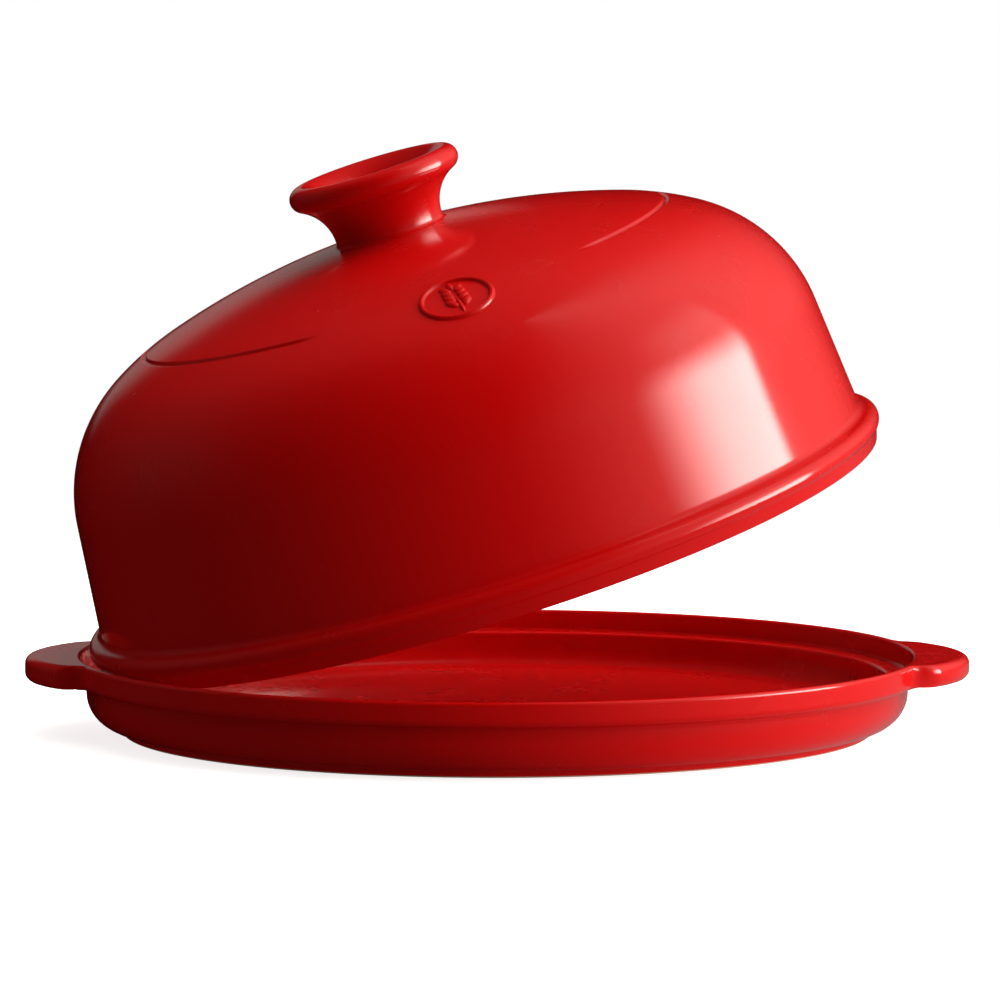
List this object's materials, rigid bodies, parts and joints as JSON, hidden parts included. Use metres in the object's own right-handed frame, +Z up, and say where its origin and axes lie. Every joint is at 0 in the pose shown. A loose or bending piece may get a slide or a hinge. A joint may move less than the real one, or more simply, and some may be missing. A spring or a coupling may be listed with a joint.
{
  "type": "bread cloche",
  "caption": "Round ceramic bread cloche: a shallow lug-handled baking dish and a domed lid with a hollow flared knob, drawn with the lid tipped open on its rim.",
  "frame": {"origin": "centre of the dish's foot ring, on the surface that it stands on", "axes": "+Z up, +X through the right handle as the dish is seen from the front, +Y away from the viewer"},
  "size_m": [0.335, 0.3008, 0.2086],
  "materials": {
    "dish_glaze": "gloss",
    "lid_glaze": "gloss"
  },
  "bodies": {
    "base": {"base_dish": "dish_glaze", "left_handle": "dish_glaze", "right_handle": "dish_glaze"},
    "lid": {"dome_shell": "lid_glaze", "lid_knob": "lid_glaze", "medallion": "lid_glaze"}
  },
  "joints": [
    {"name": "lid_tip", "type": "hinge", "parent": "base", "child": "lid", "pos_m": [-0.13571, -0.03636, 0.0285], "axis": [0.2588, -0.9659, 0], "range_deg": [-17.6, 40]}
  ]
}
